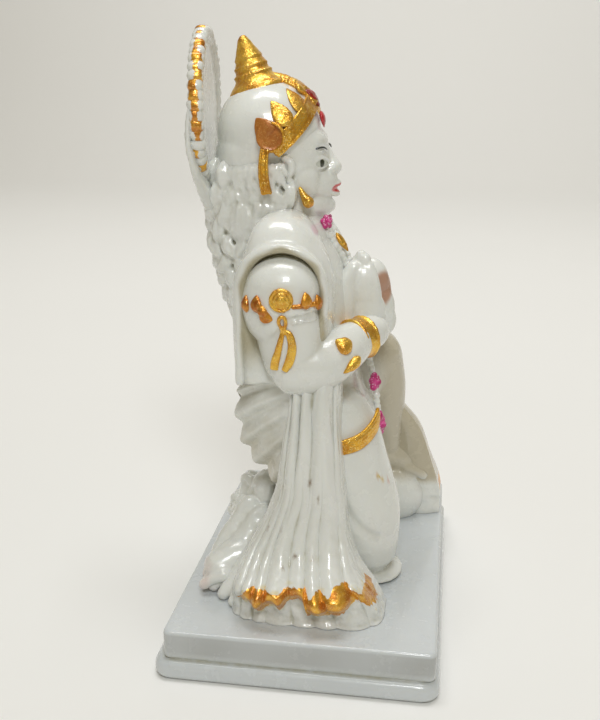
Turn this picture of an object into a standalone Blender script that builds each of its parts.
"""Kneeling Hanuman figure with palms pressed together, cast in marble-dust resin with its halo,
hair and shawl, and glued on a two-step plinth. 200 mm tall.

The figure faces -Y, its left is +X and up is +Z. The origin is at the middle of the underside.
Shapes are worked out in millimetres as (forward, left, up) and turned to metres in as_object().
"""

import math

import bmesh
import bpy
from mathutils import Matrix, Vector

MM = 0.001

# Plinth
SLAB_WIDTH = 130.0
SLAB_DEPTH = 86.6
SLAB_TOP = 16.0
SLAB_CORNER = 2.4
SLAB_FORWARD = 0.9
FOOT_RIM = 2.3
FOOT_HEIGHT = 6.4
FOOT_CORNER = 5.5
CORNER_STEPS = 4
GLUE_GAP = 0.3
SOLE = SLAB_TOP + GLUE_GAP

# Halo, a disc with a shell-like edge behind the head, turned a little to the figure's right
HALO_MIDDLE = (-40.9, 0.0, 174.3)
HALO_TURN = 6.5
HALO_RADIUS = 25.5
HALO_HALF_RIM = 1.9
HALO_HALF_PLATE = 1.2
HALO_RIBS = 48
HALO_RIB_HEIGHT = 0.7

# Headdress
HAT_MIDDLE = (-19.2, 0.0, 166.8)
HAT_SIZE = (17.2, 18.2, 16.6)
FINIAL_FOOT = (-23.3, 0.0, 181.4)
FINIAL_LEAN = 17.0
FINIAL_PROFILE = (
    (0.0, 16.2), (1.4, 15.5), (3.1, 12.6), (4.8, 9.2), (5.2, 8.5), (4.4, 7.6), (5.1, 6.6),
    (5.8, 5.9), (5.1, 5.1), (6.2, 4.2), (7.0, 3.4), (6.4, 2.6), (8.0, 0.8), (9.6, -1.0), (7.6, -3.4),
    (0.0, -3.4),
)
CREST_STEPS = 9
TIARA_STEPS = 14
TIARA_SPREAD = 78.0
BAND_RADIUS = 1.5

# Hair falling down the back
LOCK_ROWS = 8
LOCKS_IN_ROW = 5
LOCK_SIZE = (2.8, 3.2, 5.4)
SIDE_LOCKS = 5

# Arms and hands
ARM_OUT = 31.6
LEFT_SHOULDER_BACK = 2.8
UPPER_ARM = 12.1
ARCH = 14.1
FINGER_RADIUS = 2.3

# Shawl ends at each side, from under the elbow to the ground
PANEL_TOP = 92.0
PANEL_STEPS = 28
PANEL_POINTS = 72
INNER_POINTS = 24
PLEAT_EDGES = (0.0, 0.12, 0.25, 0.39, 0.53, 0.67, 1.0)
PLEAT_DEPTH = 2.8
RUFFLES = 5.5
RUFFLE_DEPTH = 1.7
RUFFLE_LIFT = 1.8
LEFT_REACH = 19.0
INNER_BULGE = 3.6

# Gathered shawl ends behind each elbow
FAN_FOLDS = 6.0
FAN_DEPTH = 4.6
FAN_ZIGZAG = 0.09
FAN_STEPS = 12
FAN_POINTS = 73

# Figure mesh
VOXEL = 0.85
SMOOTH_ROUNDS = 2
KEEP_SHARE = 0.038

RESIN_COLOUR = (0.80, 0.80, 0.76, 1.0)
PLINTH_COLOUR = (0.72, 0.75, 0.77, 1.0)
RESIN_ROUGHNESS = 0.28


def at(forward, left, up):
    """A point from how far forward of the slab's middle, to the figure's left and up it is."""
    return Vector((left, -(forward + SLAB_FORWARD), up))


def mix(a, b, share):
    return a + (b - a) * share


def between(stops, where):
    """Reads a value at where from stops of (place, value), eased from one stop to the next."""
    if where <= stops[0][0]:
        return stops[0][1]
    for (low, first), (high, second) in zip(stops, stops[1:]):
        if where <= high:
            share = (where - low) / (high - low)
            return mix(first, second, share * share * (3.0 - 2.0 * share))
    return stops[-1][1]


def remove_all_objects():
    for obj in list(bpy.data.objects):
        bpy.data.objects.remove(obj, do_unlink=True)


def new_collection(name):
    collection = bpy.data.collections.new(name)
    bpy.context.scene.collection.children.link(collection)
    return collection


def principled(name, colour, roughness):
    material = bpy.data.materials.new(name)
    material.use_nodes = True
    shader = material.node_tree.nodes["Principled BSDF"]
    shader.inputs["Base Color"].default_value = colour
    shader.inputs["Roughness"].default_value = roughness
    shader.inputs["Metallic"].default_value = 0.0
    return material


def link_mesh(name, bm, collection):
    """Turns a finished mesh into an object of the collection, with its faces pointing out."""
    bmesh.ops.recalc_face_normals(bm, faces=bm.faces)
    mesh = bpy.data.meshes.new(name)
    bm.to_mesh(mesh)
    bm.free()
    obj = bpy.data.objects.new(name, mesh)
    collection.objects.link(obj)
    return obj


def as_object(name, bm, collection):
    """Makes an object in metres from a mesh in millimetres."""
    bmesh.ops.scale(bm, vec=(MM, MM, MM), verts=bm.verts)
    return link_mesh(name, bm, collection)


def add_evaluated(bm, obj):
    """Adds the finished mesh of a helper object, kept in millimetres, and removes the helper."""
    bpy.context.view_layer.update()
    graph = bpy.context.evaluated_depsgraph_get()
    mesh = bpy.data.meshes.new_from_object(obj.evaluated_get(graph))
    mesh.transform(obj.matrix_world)
    part = bmesh.new()
    part.from_mesh(mesh)
    bmesh.ops.remove_doubles(part, verts=part.verts, dist=0.001)
    bmesh.ops.recalc_face_normals(part, faces=part.faces)
    part.to_mesh(mesh)
    part.free()
    bm.from_mesh(mesh)
    bpy.data.meshes.remove(mesh)
    bpy.data.objects.remove(obj, do_unlink=True)


def ball(bm, middle, radii, tilt=0.0, turn=0.0, sides=20):
    """An ellipsoid of radii (forward, left, up), tilted back and turned left by so many degrees."""
    place = (
        Matrix.Translation(middle)
        @ Matrix.Rotation(math.radians(turn), 4, "Z")
        @ Matrix.Rotation(math.radians(tilt), 4, "X")
        @ Matrix.Diagonal((radii[1], radii[0], radii[2], 1.0))
    )
    part = bmesh.new()
    bmesh.ops.create_uvsphere(part, u_segments=sides, v_segments=sides // 2 + 2, radius=1.0, matrix=place)
    mesh = bpy.data.meshes.new("ball")
    part.to_mesh(mesh)
    part.free()
    bm.from_mesh(mesh)
    bpy.data.meshes.remove(mesh)


def limb(bm, stops, flat=1.0):
    """A round-ended tube through stops of (point, radius), squeezed to flat of its width along X."""
    curve = bpy.data.curves.new("limb", "CURVE")
    curve.dimensions = "3D"
    curve.bevel_depth = 1.0
    curve.bevel_resolution = 4
    curve.resolution_u = 6
    curve.use_fill_caps = True
    spline = curve.splines.new("BEZIER")
    spline.bezier_points.add(len(stops) - 1)
    middle = sum(point.x for point, _ in stops) / len(stops)
    for knot, (point, radius) in zip(spline.bezier_points, stops):
        knot.co = ((point.x - middle) / flat, point.y, point.z)
        knot.radius = radius
        knot.handle_left_type = "AUTO"
        knot.handle_right_type = "AUTO"
    tube = bpy.data.objects.new("limb", curve)
    bpy.context.scene.collection.objects.link(tube)
    tube.matrix_world = Matrix.Translation((middle, 0.0, 0.0)) @ Matrix.Diagonal((flat, 1.0, 1.0, 1.0))
    add_evaluated(bm, tube)
    bpy.data.curves.remove(curve)
    for point, radius in (stops[0], stops[-1]):
        ball(bm, point, (radius, radius * flat, radius), sides=14)


def loft(bm, rings):
    """Skins closed rings of equal length from first to last, and closes both ends."""
    loops = [[bm.verts.new(point) for point in ring] for ring in rings]
    count = len(loops[0])
    for low, high in zip(loops, loops[1:]):
        for i in range(count):
            j = (i + 1) % count
            bm.faces.new((low[i], low[j], high[j], high[i]))
    for loop in (loops[0], loops[-1]):
        middle = bm.verts.new(sum((vert.co for vert in loop), Vector()) / count)
        for i in range(count):
            bm.faces.new((loop[i], loop[(i + 1) % count], middle))


def oval(forward, left, up, half_depth, half_width, boxy=2.0, count=40):
    """A level ring round (forward, left): an ellipse, or nearer to a box as boxy goes over 2."""
    ring = []
    for i in range(count):
        angle = 2.0 * math.pi * i / count
        ahead = math.cos(angle)
        aside = math.sin(angle)
        ring.append(at(
            forward + half_depth * math.copysign(abs(ahead) ** (2.0 / boxy), ahead),
            left + half_width * math.copysign(abs(aside) ** (2.0 / boxy), aside),
            up,
        ))
    return ring


def rounded_outline(half_width, half_depth, corner):
    """The outline of a rectangle with round corners, anticlockwise."""
    outline = []
    for quarter, (x, y) in enumerate(((1, 1), (-1, 1), (-1, -1), (1, -1))):
        for step in range(CORNER_STEPS + 1):
            angle = math.radians(90.0 * (quarter + step / CORNER_STEPS))
            outline.append((
                x * (half_width - corner) + corner * math.cos(angle),
                y * (half_depth - corner) + corner * math.sin(angle),
            ))
    return outline


def plinth(collection):
    """The base: a thick round-edged foot under a plain slab, set a little forward on it."""
    foot_profile = (
        (FOOT_RIM - 1.2, 0.0),
        (FOOT_RIM - 0.2, 0.8),
        (FOOT_RIM, 2.4),
        (FOOT_RIM - 0.1, 4.2),
        (FOOT_RIM - 0.8, 5.7),
    )
    slab_profile = (
        (0.0, FOOT_HEIGHT + 0.5),
        (0.0, SLAB_TOP - 1.0),
        (-0.3, SLAB_TOP - 0.3),
        (-1.0, SLAB_TOP),
    )
    bm = bmesh.new()
    rings = []
    for profile, corner, shift in ((foot_profile, FOOT_CORNER, 0.0), (slab_profile, SLAB_CORNER, SLAB_FORWARD)):
        for out, up in profile:
            outline = rounded_outline(SLAB_WIDTH / 2.0 + out, SLAB_DEPTH / 2.0 + out, corner)
            rings.append([Vector((x, y - shift, up)) for x, y in outline])
    loops = [[bm.verts.new(point) for point in ring] for ring in rings]
    for low, high in zip(loops, loops[1:]):
        for i, vert in enumerate(low):
            j = (i + 1) % len(low)
            bm.faces.new((vert, low[j], high[j], high[i]))
    bm.faces.new(reversed(loops[0]))
    bm.faces.new(loops[-1])
    obj = as_object("plinth", bm, collection)
    obj.data.materials.append(principled("plinth resin", PLINTH_COLOUR, RESIN_ROUGHNESS))
    obj.data.set_sharp_from_angle(angle=math.radians(40.0))
    return obj


def halo(bm):
    """The disc: thin in the middle, with a thick rim that is ribbed like the edge of a shell."""
    turn = math.radians(HALO_TURN)
    thin = HALO_HALF_PLATE
    thick = HALO_HALF_RIM
    profile = ((0.3, -thin), (0.84, -thin), (0.88, -thick), (0.98, -thick), (1.0, -0.6 * thick),
               (1.0, 0.6 * thick), (0.98, thick), (0.88, thick), (0.84, thin), (0.3, thin))
    count = HALO_RIBS * 6
    rings = []
    for reach, ahead in profile:
        ring = []
        for i in range(count):
            angle = 2.0 * math.pi * i / count
            rib = HALO_RIB_HEIGHT * (2.0 * abs(math.cos(HALO_RIBS * angle / 2.0)) - 1.0)
            rib *= between(((0.86, 0.0), (0.98, 1.0)), reach)
            radius = HALO_RADIUS * reach + rib
            depth = ahead + math.copysign(rib, ahead)
            aside = radius * math.sin(angle)
            ring.append(at(
                HALO_MIDDLE[0] + depth * math.cos(turn) - aside * math.sin(turn),
                HALO_MIDDLE[1] + depth * math.sin(turn) + aside * math.cos(turn),
                HALO_MIDDLE[2] + radius * math.cos(angle),
            ))
        rings.append(ring)
    loft(bm, rings)


def finial(bm):
    """The stepped cone on top of the headdress, turned from its profile and leaning back."""
    mesh = bpy.data.meshes.new("finial")
    points = [(radius, 0.0, height) for radius, height in FINIAL_PROFILE]
    mesh.from_pydata(points, [(i, i + 1) for i in range(len(points) - 1)], [])
    turned = bpy.data.objects.new("finial", mesh)
    bpy.context.scene.collection.objects.link(turned)
    screw = turned.modifiers.new("turn", "SCREW")
    screw.steps = 28
    screw.render_steps = 28
    screw.use_merge_vertices = True
    screw.merge_threshold = 0.0001
    lean = Matrix.Rotation(math.radians(-FINIAL_LEAN), 4, "X")
    turned.matrix_world = Matrix.Translation(at(*FINIAL_FOOT)) @ lean
    add_evaluated(bm, turned)
    bpy.data.meshes.remove(mesh)


def on_hat(angle, height, proud=0.0):
    """A point on the headdress at angle degrees round from the front, height above its middle."""
    forward, left, up = HAT_MIDDLE
    depth, width, tall = HAT_SIZE
    share = math.sqrt(max(0.0, 1.0 - (height / tall) ** 2)) + proud / width
    turn = math.radians(angle)
    return at(
        forward + depth * share * math.cos(turn),
        left + width * share * math.sin(turn),
        up + height + proud * height / tall,
    )


def headdress(bm):
    """The smooth cap, its finial, the crest in front of it, and the slanting tiara with its leaves."""
    ball(bm, at(*HAT_MIDDLE), HAT_SIZE, sides=36)
    ball(bm, at(-22.6, 0.0, 160.4), (14.2, 17.2, 12.4), sides=30)
    finial(bm)
    crest = []
    for i in range(CREST_STEPS):
        angle = math.radians(mix(86.0, 34.0, i / (CREST_STEPS - 1)))
        crest.append((
            at(
                HAT_MIDDLE[0] + (HAT_SIZE[0] + 0.3) * math.cos(angle),
                0.0,
                HAT_MIDDLE[2] + (HAT_SIZE[2] + 0.3) * math.sin(angle),
            ),
            1.5,
        ))
    limb(bm, crest)
    for lift in (-1.3, 0.0, 1.3):
        band = []
        for i in range(TIARA_STEPS):
            share = 2.0 * i / (TIARA_STEPS - 1) - 1.0
            height = mix(9.6, 0.6, abs(share) ** 1.25) + lift
            band.append((on_hat(TIARA_SPREAD * share, height, 0.3), BAND_RADIUS))
        limb(bm, band)
    for side in (-1.0, 1.0):
        for turn, height in ((50.0, 8.6), (27.0, 12.2)):
            foot = on_hat(side * turn, height - 2.4, 0.5)
            tip = on_hat(side * (turn + 7.0), height + 2.6, 0.9)
            limb(bm, [(foot, 2.2), (mix(foot, tip, 0.5), 1.7), (tip, 0.5)])
        ball(bm, at(-15.6, side * 18.6, 166.3), (4.6, 1.9, 4.6))
        limb(bm, [(at(-16.6, side * 18.2, 168.0), 2.4), (at(-19.0, side * 18.2, 172.2), 0.6)])
        limb(bm, [
            (at(-17.0, side * 19.4, 162.5), 1.4),
            (at(-17.2, side * 19.6, 156.0), 1.5),
            (at(-16.2, side * 19.0, 149.4), 1.8),
        ], flat=0.8)


def head(bm):
    """The broad muzzle, cheeks, brow and ears of a monkey face, calm and evenly spaced."""
    ball(bm, at(-11.5, 0.0, 158.6), (12.6, 14.4, 14.6), sides=28)
    ball(bm, at(-4.8, 0.0, 150.6), (8.6, 9.6, 7.2), sides=24)
    ball(bm, at(-4.4, 0.0, 143.4), (6.6, 8.4, 6.4), sides=20)
    ball(bm, at(-5.6, 0.0, 164.0), (6.0, 9.6, 4.6), sides=20)
    limb(bm, [(at(-1.6, 0.0, 163.0), 1.7), (at(0.8, 0.0, 158.6), 1.9), (at(2.6, 0.0, 155.6), 2.6)])
    ball(bm, at(2.8, 0.0, 148.2), (2.2, 3.8, 1.4))
    for side in (-1.0, 1.0):
        ball(bm, at(1.6, side * 2.2, 155.0), (1.9, 1.9, 1.6), sides=12)
        ball(bm, at(-1.8, side * 5.0, 161.4), (2.0, 3.1, 2.0), sides=14)
        ball(bm, at(-3.0, side * 8.4, 154.6), (4.6, 4.2, 4.8), sides=16)
        limb(bm, [
            (at(-11.2, side * 15.2, 160.6), 1.5),
            (at(-8.6, side * 15.6, 158.8), 1.6),
            (at(-8.8, side * 15.4, 155.4), 1.6),
            (at(-11.2, side * 14.8, 152.6), 1.7),
        ])
        limb(bm, [(at(-10.6, side * 14.2, 150.4), 1.9), (at(-8.6, side * 13.6, 147.4), 2.1)])
        limb(bm, [(at(-6.8, side * 13.8, 148.2), 1.0), (at(-4.2, side * 13.6, 144.8), 1.4)])


def torso(bm):
    """Hips, waist, chest and neck in one run of ovals."""
    levels = (
        (SOLE - 2.0, 3.0, 15.0, 28.0),
        (36.0, 2.0, 15.0, 27.0),
        (50.0, 0.0, 16.5, 25.0),
        (70.0, -1.0, 17.5, 25.0),
        (84.0, -3.0, 15.5, 22.5),
        (98.0, -5.0, 16.0, 24.0),
        (114.0, -7.0, 15.5, 28.0),
        (126.0, -9.0, 15.0, 30.0),
        (134.0, -10.7, 12.7, 24.0),
        (140.0, -11.0, 10.0, 16.0),
        (150.0, -10.5, 9.0, 10.5),
    )
    loft(bm, [oval(forward, 0.0, up, depth, width) for up, forward, depth, width in levels])


def shoulder_back(side):
    """How much further back the shoulder of a side is: the figure is turned a little to its left."""
    return LEFT_SHOULDER_BACK if side > 0.0 else 0.0


def shoulder(bm, side):
    """The shawl drawn over the shoulder, with an arched opening for the arm."""
    levels = (
        (72.0, -14.0, 12.0, 19.0, 12.0),
        (90.0, -11.5, 14.5, 22.0, 15.0),
        (104.0, -9.6, 16.2, 24.0, 15.0),
        (118.0, -8.6, 16.2, 24.2, 15.0),
        (128.0, -9.2, 14.4, 23.6, 14.4),
        (134.0, -10.2, 11.8, 22.4, 13.4),
        (139.0, -10.9, 9.0, 20.6, 11.6),
        (142.2, -11.0, 5.8, 19.0, 8.6),
        (143.6, -11.0, 2.0, 18.0, 4.0),
    )
    back = shoulder_back(side)
    cover = bmesh.new()
    loft(cover, [
        oval(forward - back, side * left, up, depth, width, boxy=3.0)
        for up, forward, depth, left, width in levels
    ])
    cover_object = link_mesh("shawl over shoulder", cover, bpy.context.scene.collection)
    arch = bmesh.new()
    arch_levels = [(50.0, ARCH), (112.0, ARCH), (121.0, ARCH)]
    for step in range(1, 8):
        rise = math.sin(math.pi / 2.0 * step / 7.0)
        arch_levels.append((121.0 + ARCH * rise, max(1.0, ARCH * math.cos(math.pi / 2.0 * step / 7.0))))
    loft(arch, [oval(-8.4 - back, side * 42.0, up, reach, 13.0, boxy=4.0) for up, reach in arch_levels])
    arch_object = link_mesh("arch cutter", arch, bpy.context.scene.collection)
    opening = cover_object.modifiers.new("arch", "BOOLEAN")
    opening.operation = "DIFFERENCE"
    opening.object = arch_object
    add_evaluated(bm, cover_object)
    bpy.data.objects.remove(arch_object, do_unlink=True)


def arm(bm, side):
    """Upper arm hanging in the arch, bent forearm and the band with its rosette and tassel."""
    back = shoulder_back(side)
    limb(bm, [
        (at(-8.6 - back, side * ARM_OUT, 121.0), UPPER_ARM - 0.4),
        (at(-8.6 - back, side * ARM_OUT, 113.0), UPPER_ARM),
        (at(-9.0 - back, side * ARM_OUT, 104.0), UPPER_ARM - 1.0),
        (at(-8.8 - back, side * (ARM_OUT + 1.0), 98.0), UPPER_ARM - 2.0),
    ], flat=0.95)
    limb(bm, [
        (at(-8.8 - back, side * 33.0, 97.6), 10.4),
        (at(-2.2 - 0.7 * back, side * 32.2, 97.6), 8.7),
        (at(4.2 - 0.4 * back, side * 29.4, 99.2), 6.9),
        (at(9.6, side * 23.0, 100.6), 5.8),
        (at(14.0, side * 12.0, 102.0), 5.5),
    ])
    ball(bm, at(-8.2 - back, side * 43.4, 120.0), (3.9, 1.3, 3.9), sides=16)
    for forward, left in ((-19.6, 37.0), (-15.0, 41.6), (-2.0, 41.8), (1.8, 38.0)):
        ball(bm, at(forward - back, side * left, 119.6), (1.6, 1.6, 2.8), sides=10)
    limb(bm, [
        (at(-8.0 - back, side * 43.2, 115.6), 1.4),
        (at(-7.6 - back, side * 43.2, 109.6), 1.7),
        (at(-10.2 - back, side * 43.0, 101.0), 2.2),
    ], flat=0.7)
    cuff = []
    for i in range(13):
        angle = 2.0 * math.pi * i / 12.0
        cuff.append((
            at(
                11.8 - 3.2 * math.cos(angle),
                side * (18.2 - 5.0 * math.sin(angle) - 1.6 * math.cos(angle)),
                101.4 + 5.8 * math.cos(angle),
            ),
            1.5,
        ))
    limb(bm, cuff)


def hands(bm):
    """Palms pressed together before the chest, fingers up, opening a little at the front edge."""
    for side in (-1.0, 1.0):
        ahead = 1.6 if side > 0.0 else 0.0
        ball(bm, at(13.4 + ahead, side * 4.0, 105.4), (6.8, 4.4, 9.2), tilt=4.0)
        for finger in range(4):
            forward = 8.8 + ahead + 2.7 * finger
            spread = 2.6 + 0.5 * finger
            top = 128.6 - 1.3 * abs(finger - 1.0) ** 1.5 - 4.0 * (ahead > 0.0)
            limb(bm, [
                (at(forward + 0.6, side * (spread + 0.6), 107.0), FINGER_RADIUS + 0.4),
                (at(forward - 0.5 * finger + 0.6, side * (spread + 0.8), 117.0), FINGER_RADIUS),
                (at(forward - 1.5 * finger + 1.8, side * spread, top - 2.0), FINGER_RADIUS - 0.5),
            ])
        limb(bm, [
            (at(9.4 + ahead, side * 6.4, 103.0), 3.0),
            (at(7.0 + ahead, side * 6.2, 110.0), 2.4),
            (at(6.6 + ahead, side * 4.8, 117.0), 1.8),
        ])


def hair(bm):
    """The mane down the back and beside the jaw: soft cores covered with overlapping tapered locks."""
    limb(bm, [
        (at(-29.0, 0.0, 156.0), 9.0),
        (at(-29.5, 0.0, 146.0), 9.6),
        (at(-28.2, 0.0, 130.0), 9.2),
        (at(-25.8, 0.0, 112.0), 8.0),
        (at(-24.2, 0.0, 103.0), 5.4),
    ])
    for row in range(LOCK_ROWS):
        drop = row / (LOCK_ROWS - 1)
        core = between(((0.0, 10.6), (0.5, 10.2), (1.0, 7.2)), drop)
        back = between(((0.0, -28.8), (0.55, -28.0), (1.0, -24.8)), drop)
        for place in range(LOCKS_IN_ROW):
            shift = 0.5 if row % 2 else 0.0
            angle = math.radians(mix(-80.0, 80.0, (place + shift) / (LOCKS_IN_ROW - 0.5)))
            middle = at(back - core * math.cos(angle), core * 1.3 * math.sin(angle), mix(152.0, 104.0, drop))
            ball(bm, middle, (LOCK_SIZE[0], LOCK_SIZE[1], LOCK_SIZE[2]), turn=math.degrees(angle), sides=12)
    for side in (-1.0, 1.0):
        ball(bm, at(-20.0, side * 10.0, 148.0), (11.0, 7.5, 8.0))
        ball(bm, at(-24.0, side * 11.0, 139.0), (8.0, 7.0, 9.0))
        for i in range(SIDE_LOCKS):
            share = i / (SIDE_LOCKS - 1)
            limb(bm, [
                (at(mix(-15.0, -29.0, share), side * mix(15.6, 13.0, share), mix(155.0, 151.0, share)), 1.9),
                (at(mix(-16.0, -30.0, share), side * mix(17.0, 14.0, share), mix(149.0, 146.0, share)), 2.3),
                (at(mix(-13.0, -27.0, share), side * mix(15.6, 14.0, share), mix(142.5, 140.0, share)), 1.7),
            ])


def cape(bm):
    """The shawl over the back, and its gathered ends that fan out below each elbow in deep folds."""
    levels = (
        (56.0, -13.0, 11.0, 19.0),
        (66.0, -13.0, 13.0, 24.0),
        (84.0, -12.5, 14.5, 27.0),
        (104.0, -12.0, 15.0, 29.0),
        (124.0, -12.0, 15.0, 30.0),
        (136.0, -12.0, 13.6, 26.0),
        (141.0, -12.0, 10.0, 18.0),
    )
    loft(bm, [oval(forward, 0.0, up, depth, width) for up, forward, depth, width in levels])
    forwards = ((0.0, -25.0), (0.3, -28.6), (0.65, -28.4), (0.85, -23.0), (1.0, -13.0))
    lefts = ((0.0, 14.0), (0.5, 16.0), (1.0, 27.0))
    ups = ((0.0, 92.0), (0.35, 72.0), (0.65, 57.0), (0.85, 49.0), (1.0, 52.0))
    for side in (-1.0, 1.0):
        gather = at(-11.0, side * 33.0, 95.0)
        outward = Vector((side * 0.8, 0.6, 0.0))
        rings = []
        for step in range(FAN_STEPS + 1):
            reach = mix(0.05, 1.0, step / FAN_STEPS)
            outside = []
            inside = []
            for i in range(FAN_POINTS):
                share = i / (FAN_POINTS - 1)
                fold = 2.0 * abs((share * FAN_FOLDS) % 1.0 - 0.5)
                edge = at(between(forwards, share), side * between(lefts, share), between(ups, share))
                point = mix(gather, edge, reach * (1.0 - FAN_ZIGZAG * fold))
                bow = math.sin(math.pi * reach) + 1.0
                outside.append(point + outward * (1.6 * bow - FAN_DEPTH * reach * fold))
                inside.append(point - outward * (3.0 + 6.0 * reach))
            rings.append(outside + inside[::-1])
        loft(bm, rings)


def panel_edges(up):
    """Back edge, front edge and outermost reach of the right shawl end at a height."""
    back = between(((16.0, -25.0), (27.0, -23.0), (35.0, -18.4), (45.0, -13.4), (64.0, -9.8), (82.0, -8.2),
                    (92.0, -8.0)), up)
    front = between(((16.0, 28.0), (29.0, 27.0), (34.0, 22.4), (41.0, 17.4), (50.0, 14.2), (70.0, 12.0),
                     (92.0, 10.4)), up)
    out = between(((16.0, 58.2), (22.0, 56.8), (25.5, 58.0), (29.0, 60.2), (32.0, 56.4), (37.0, 50.6),
                   (45.0, 46.4), (58.0, 43.0), (80.0, 39.4), (92.0, 36.0)), up)
    return back, front, out


def pleat(share):
    """How far a pleat stands out, 0 in a groove to 1 on its crest, at a share of the cloth's breadth."""
    for low, high in zip(PLEAT_EDGES, PLEAT_EDGES[1:]):
        if share <= high:
            return math.sin(math.pi * (share - low) / (high - low)) ** 0.55
    return 0.0


def panel(bm, side):
    """The shawl end that hangs beside the leg in pleats and spreads on the ground in a ruffled hem."""
    is_left = side > 0.0
    rings = []
    for step in range(PANEL_STEPS + 1):
        up = mix(PANEL_TOP, SOLE - 1.0, step / PANEL_STEPS)
        back, front, out = panel_edges(up)
        inner = between(((26.0, 35.0), (52.0, 31.0), (80.0, 21.0)), up)
        if is_left:
            front += LEFT_REACH * between(((16.0, 0.7), (30.0, 0.72), (42.0, 1.0), (54.0, 0.86), (64.0, 0.6),
                                           (92.0, 0.0)), up)
        flare = between(((20.0, 0.6), (28.0, 1.0), (40.0, 0.35), (56.0, 0.0)), up)
        raised = between(((18.0, 0.0), (27.0, 1.0), (38.0, 0.4), (50.0, 0.0)), up)
        middle = (back + front) / 2.0
        half = (front - back) / 2.0
        ring = []
        for i in range(PANEL_POINTS):
            along = i / (PANEL_POINTS - 1)
            angle = math.pi * (along - 0.5)
            across = math.copysign(abs(math.sin(angle)) ** 0.75, angle)
            bulge = max(0.0, math.cos(angle)) ** 0.55
            ruffle = math.sin(2.0 * math.pi * RUFFLES * along)
            push = PLEAT_DEPTH * (pleat(along) - 0.5) * (1.0 - 0.5 * flare) + RUFFLE_DEPTH * ruffle * flare
            push *= bulge
            ring.append(at(
                middle + (half + 0.25 * push) * across,
                side * (inner + (out - inner + push) * bulge),
                up + RUFFLE_LIFT * ruffle * raised,
            ))
        for i in range(1, INNER_POINTS):
            angle = math.pi * (0.5 - i / INNER_POINTS)
            bulge = max(0.0, math.cos(angle)) ** 0.6 * (1.0 + 0.25 * math.cos(7.0 * angle))
            ring.append(at(middle + half * math.sin(angle), side * (inner - INNER_BULGE * bulge), up))
        rings.append(ring)
    loft(bm, rings)


def right_leg(bm):
    """The kneeling leg: thigh down to the knee on the ground, calf folded back, foot on its toes."""
    limb(bm, [
        (at(5.6, -14.0, 70.0), 14.2),
        (at(10.0, -15.4, 56.0), 14.4),
        (at(14.6, -16.6, 41.0), 14.0),
        (at(16.2, -17.4, 29.0), 12.6),
    ])
    limb(bm, [
        (at(10.0, -18.0, 28.0), 11.0),
        (at(-6.0, -22.0, 28.0), 9.6),
        (at(-19.0, -25.0, 26.0), 7.6),
        (at(-26.5, -29.5, 24.6), 7.0),
        (at(-31.5, -33.5, 23.2), 5.6),
    ])
    for toe in range(5):
        spread = mix(-40.0, -31.0, toe / 4.0)
        limb(bm, [(at(-30.0, spread + 1.0, 22.0), 2.6), (at(-35.0 + 0.3 * toe, spread - 0.4, 19.6), 2.0)])
    ball(bm, at(15.0, -20.0, 17.4), (11.0, 9.0, 1.8))


def left_leg(bm):
    """The raised leg: thigh up to the knee, shin down to the foot, which stands on the shawl's hem."""
    limb(bm, [
        (at(-2.0, 14.0, 66.0), 14.0),
        (at(8.0, 21.0, 76.0), 12.4),
        (at(15.2, 26.0, 83.2), 10.6),
    ])
    limb(bm, [
        (at(15.6, 26.6, 82.0), 10.4),
        (at(18.6, 28.0, 70.0), 9.0),
        (at(20.0, 29.6, 56.0), 7.0),
        (at(20.4, 31.6, 46.0), 6.0),
    ])
    limb(bm, [
        (at(17.0, 32.0, 42.0), 6.4),
        (at(25.0, 34.0, 40.0), 6.4),
        (at(31.0, 36.0, 36.4), 5.2),
    ])
    for toe in range(5):
        spread = mix(30.4, 40.6, toe / 4.0)
        limb(bm, [(at(29.0, spread, 36.0), 2.4), (at(35.2 - 0.6 * toe, spread + 0.6, 33.4), 1.9)])
    ball(bm, at(22.0, 34.0, 24.0), (14.0, 11.0, 13.0))


def lap(bm):
    """Loincloth over the thighs, its hem band, and the garland that hangs down the middle."""
    ball(bm, at(2.0, 0.0, 68.0), (17.0, 24.0, 14.0))
    limb(bm, [(at(14.0, 0.0, 66.0), 6.0), (at(15.0, 1.0, 50.0), 5.4), (at(13.0, 2.0, 28.0), 5.0)])
    band = []
    for angle in (80.0, 55.0, 30.0, 5.0, -20.0):
        around = math.radians(angle)
        band.append((at(5.6 + 14.4 * math.cos(around), -14.0 - 14.4 * math.sin(around), 72.6 - 0.075 * angle), 1.9))
    limb(bm, band)
    for side in (-1.0, 1.0):
        limb(bm, [
            (at(-3.4, side * 8.0, 139.5), 1.4),
            (at(3.6, side * 6.0, 131.0), 1.6),
            (at(10.4, side * 3.0, 112.0), 1.8),
            (at(15.4, 0.0, 90.0), 2.1),
        ])
    limb(bm, [(at(15.4, 0.0, 90.0), 2.1), (at(18.4, 0.0, 76.0), 2.4), (at(19.4, 0.0, 64.0), 2.6)])


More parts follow.
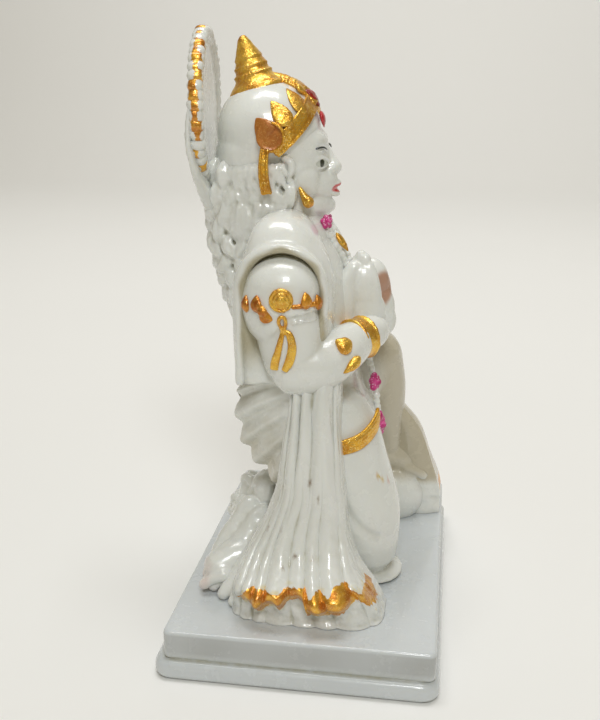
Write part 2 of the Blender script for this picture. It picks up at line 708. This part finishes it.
def tail(bm):
    """The tail lying along the back of the plinth in soft lumps."""
    for i in range(9):
        share = i / 8.0
        ball(
            bm,
            at(mix(-34.0, -20.0, share ** 1.8), mix(18.0, -14.0, share), 21.5 + 3.0 * math.sin(math.pi * share)),
            (5.4, 4.4, 6.4),
            sides=12,
        )
    for forward, left, up in ((-27.0, 6.0, 20.0), (-25.0, -2.0, 22.0), (-22.0, -9.0, 23.0), (-17.0, -14.0, 26.0)):
        ball(bm, at(forward, left, up), (7.0, 5.6, 7.0), sides=14)


def sole_cutter(helpers):
    """A block whose top is the level at which the casting meets the glue."""
    depth = 20.0
    place = Matrix.Translation((0.0, 0.0, SOLE - depth / 2.0)) @ Matrix.Diagonal(
        (SLAB_WIDTH * 2.0, SLAB_DEPTH * 2.0, depth, 1.0)
    )
    bm = bmesh.new()
    bmesh.ops.create_cube(bm, size=1.0, matrix=place)
    cutter = as_object("sole cutter", bm, helpers)
    cutter.hide_render = True
    cutter.display_type = "WIRE"
    return cutter


def figure(collection, helpers):
    """The whole casting: every form above fused into one skin, thinned, and cut flat below."""
    bm = bmesh.new()
    for build in (torso, cape, hands, head, headdress, halo, hair, right_leg, left_leg, lap, tail):
        build(bm)
    for build in (shoulder, arm, panel):
        for side in (-1.0, 1.0):
            build(bm, side)
    obj = as_object("figure", bm, collection)
    obj.data.materials.append(principled("figure resin", RESIN_COLOUR, RESIN_ROUGHNESS))
    skin = obj.modifiers.new("one skin", "REMESH")
    skin.mode = "VOXEL"
    skin.voxel_size = VOXEL * MM
    skin.use_smooth_shade = True
    soften = obj.modifiers.new("soften", "SMOOTH")
    soften.factor = 0.5
    soften.iterations = SMOOTH_ROUNDS
    thin = obj.modifiers.new("thin out", "DECIMATE")
    thin.ratio = KEEP_SHARE
    trim = obj.modifiers.new("flat sole", "BOOLEAN")
    trim.operation = "DIFFERENCE"
    trim.object = sole_cutter(helpers)
    return obj


def main():
    remove_all_objects()
    collection = new_collection("hanuman figure")
    helpers = new_collection("cutters")
    plinth(collection)
    figure(collection, helpers)


main()
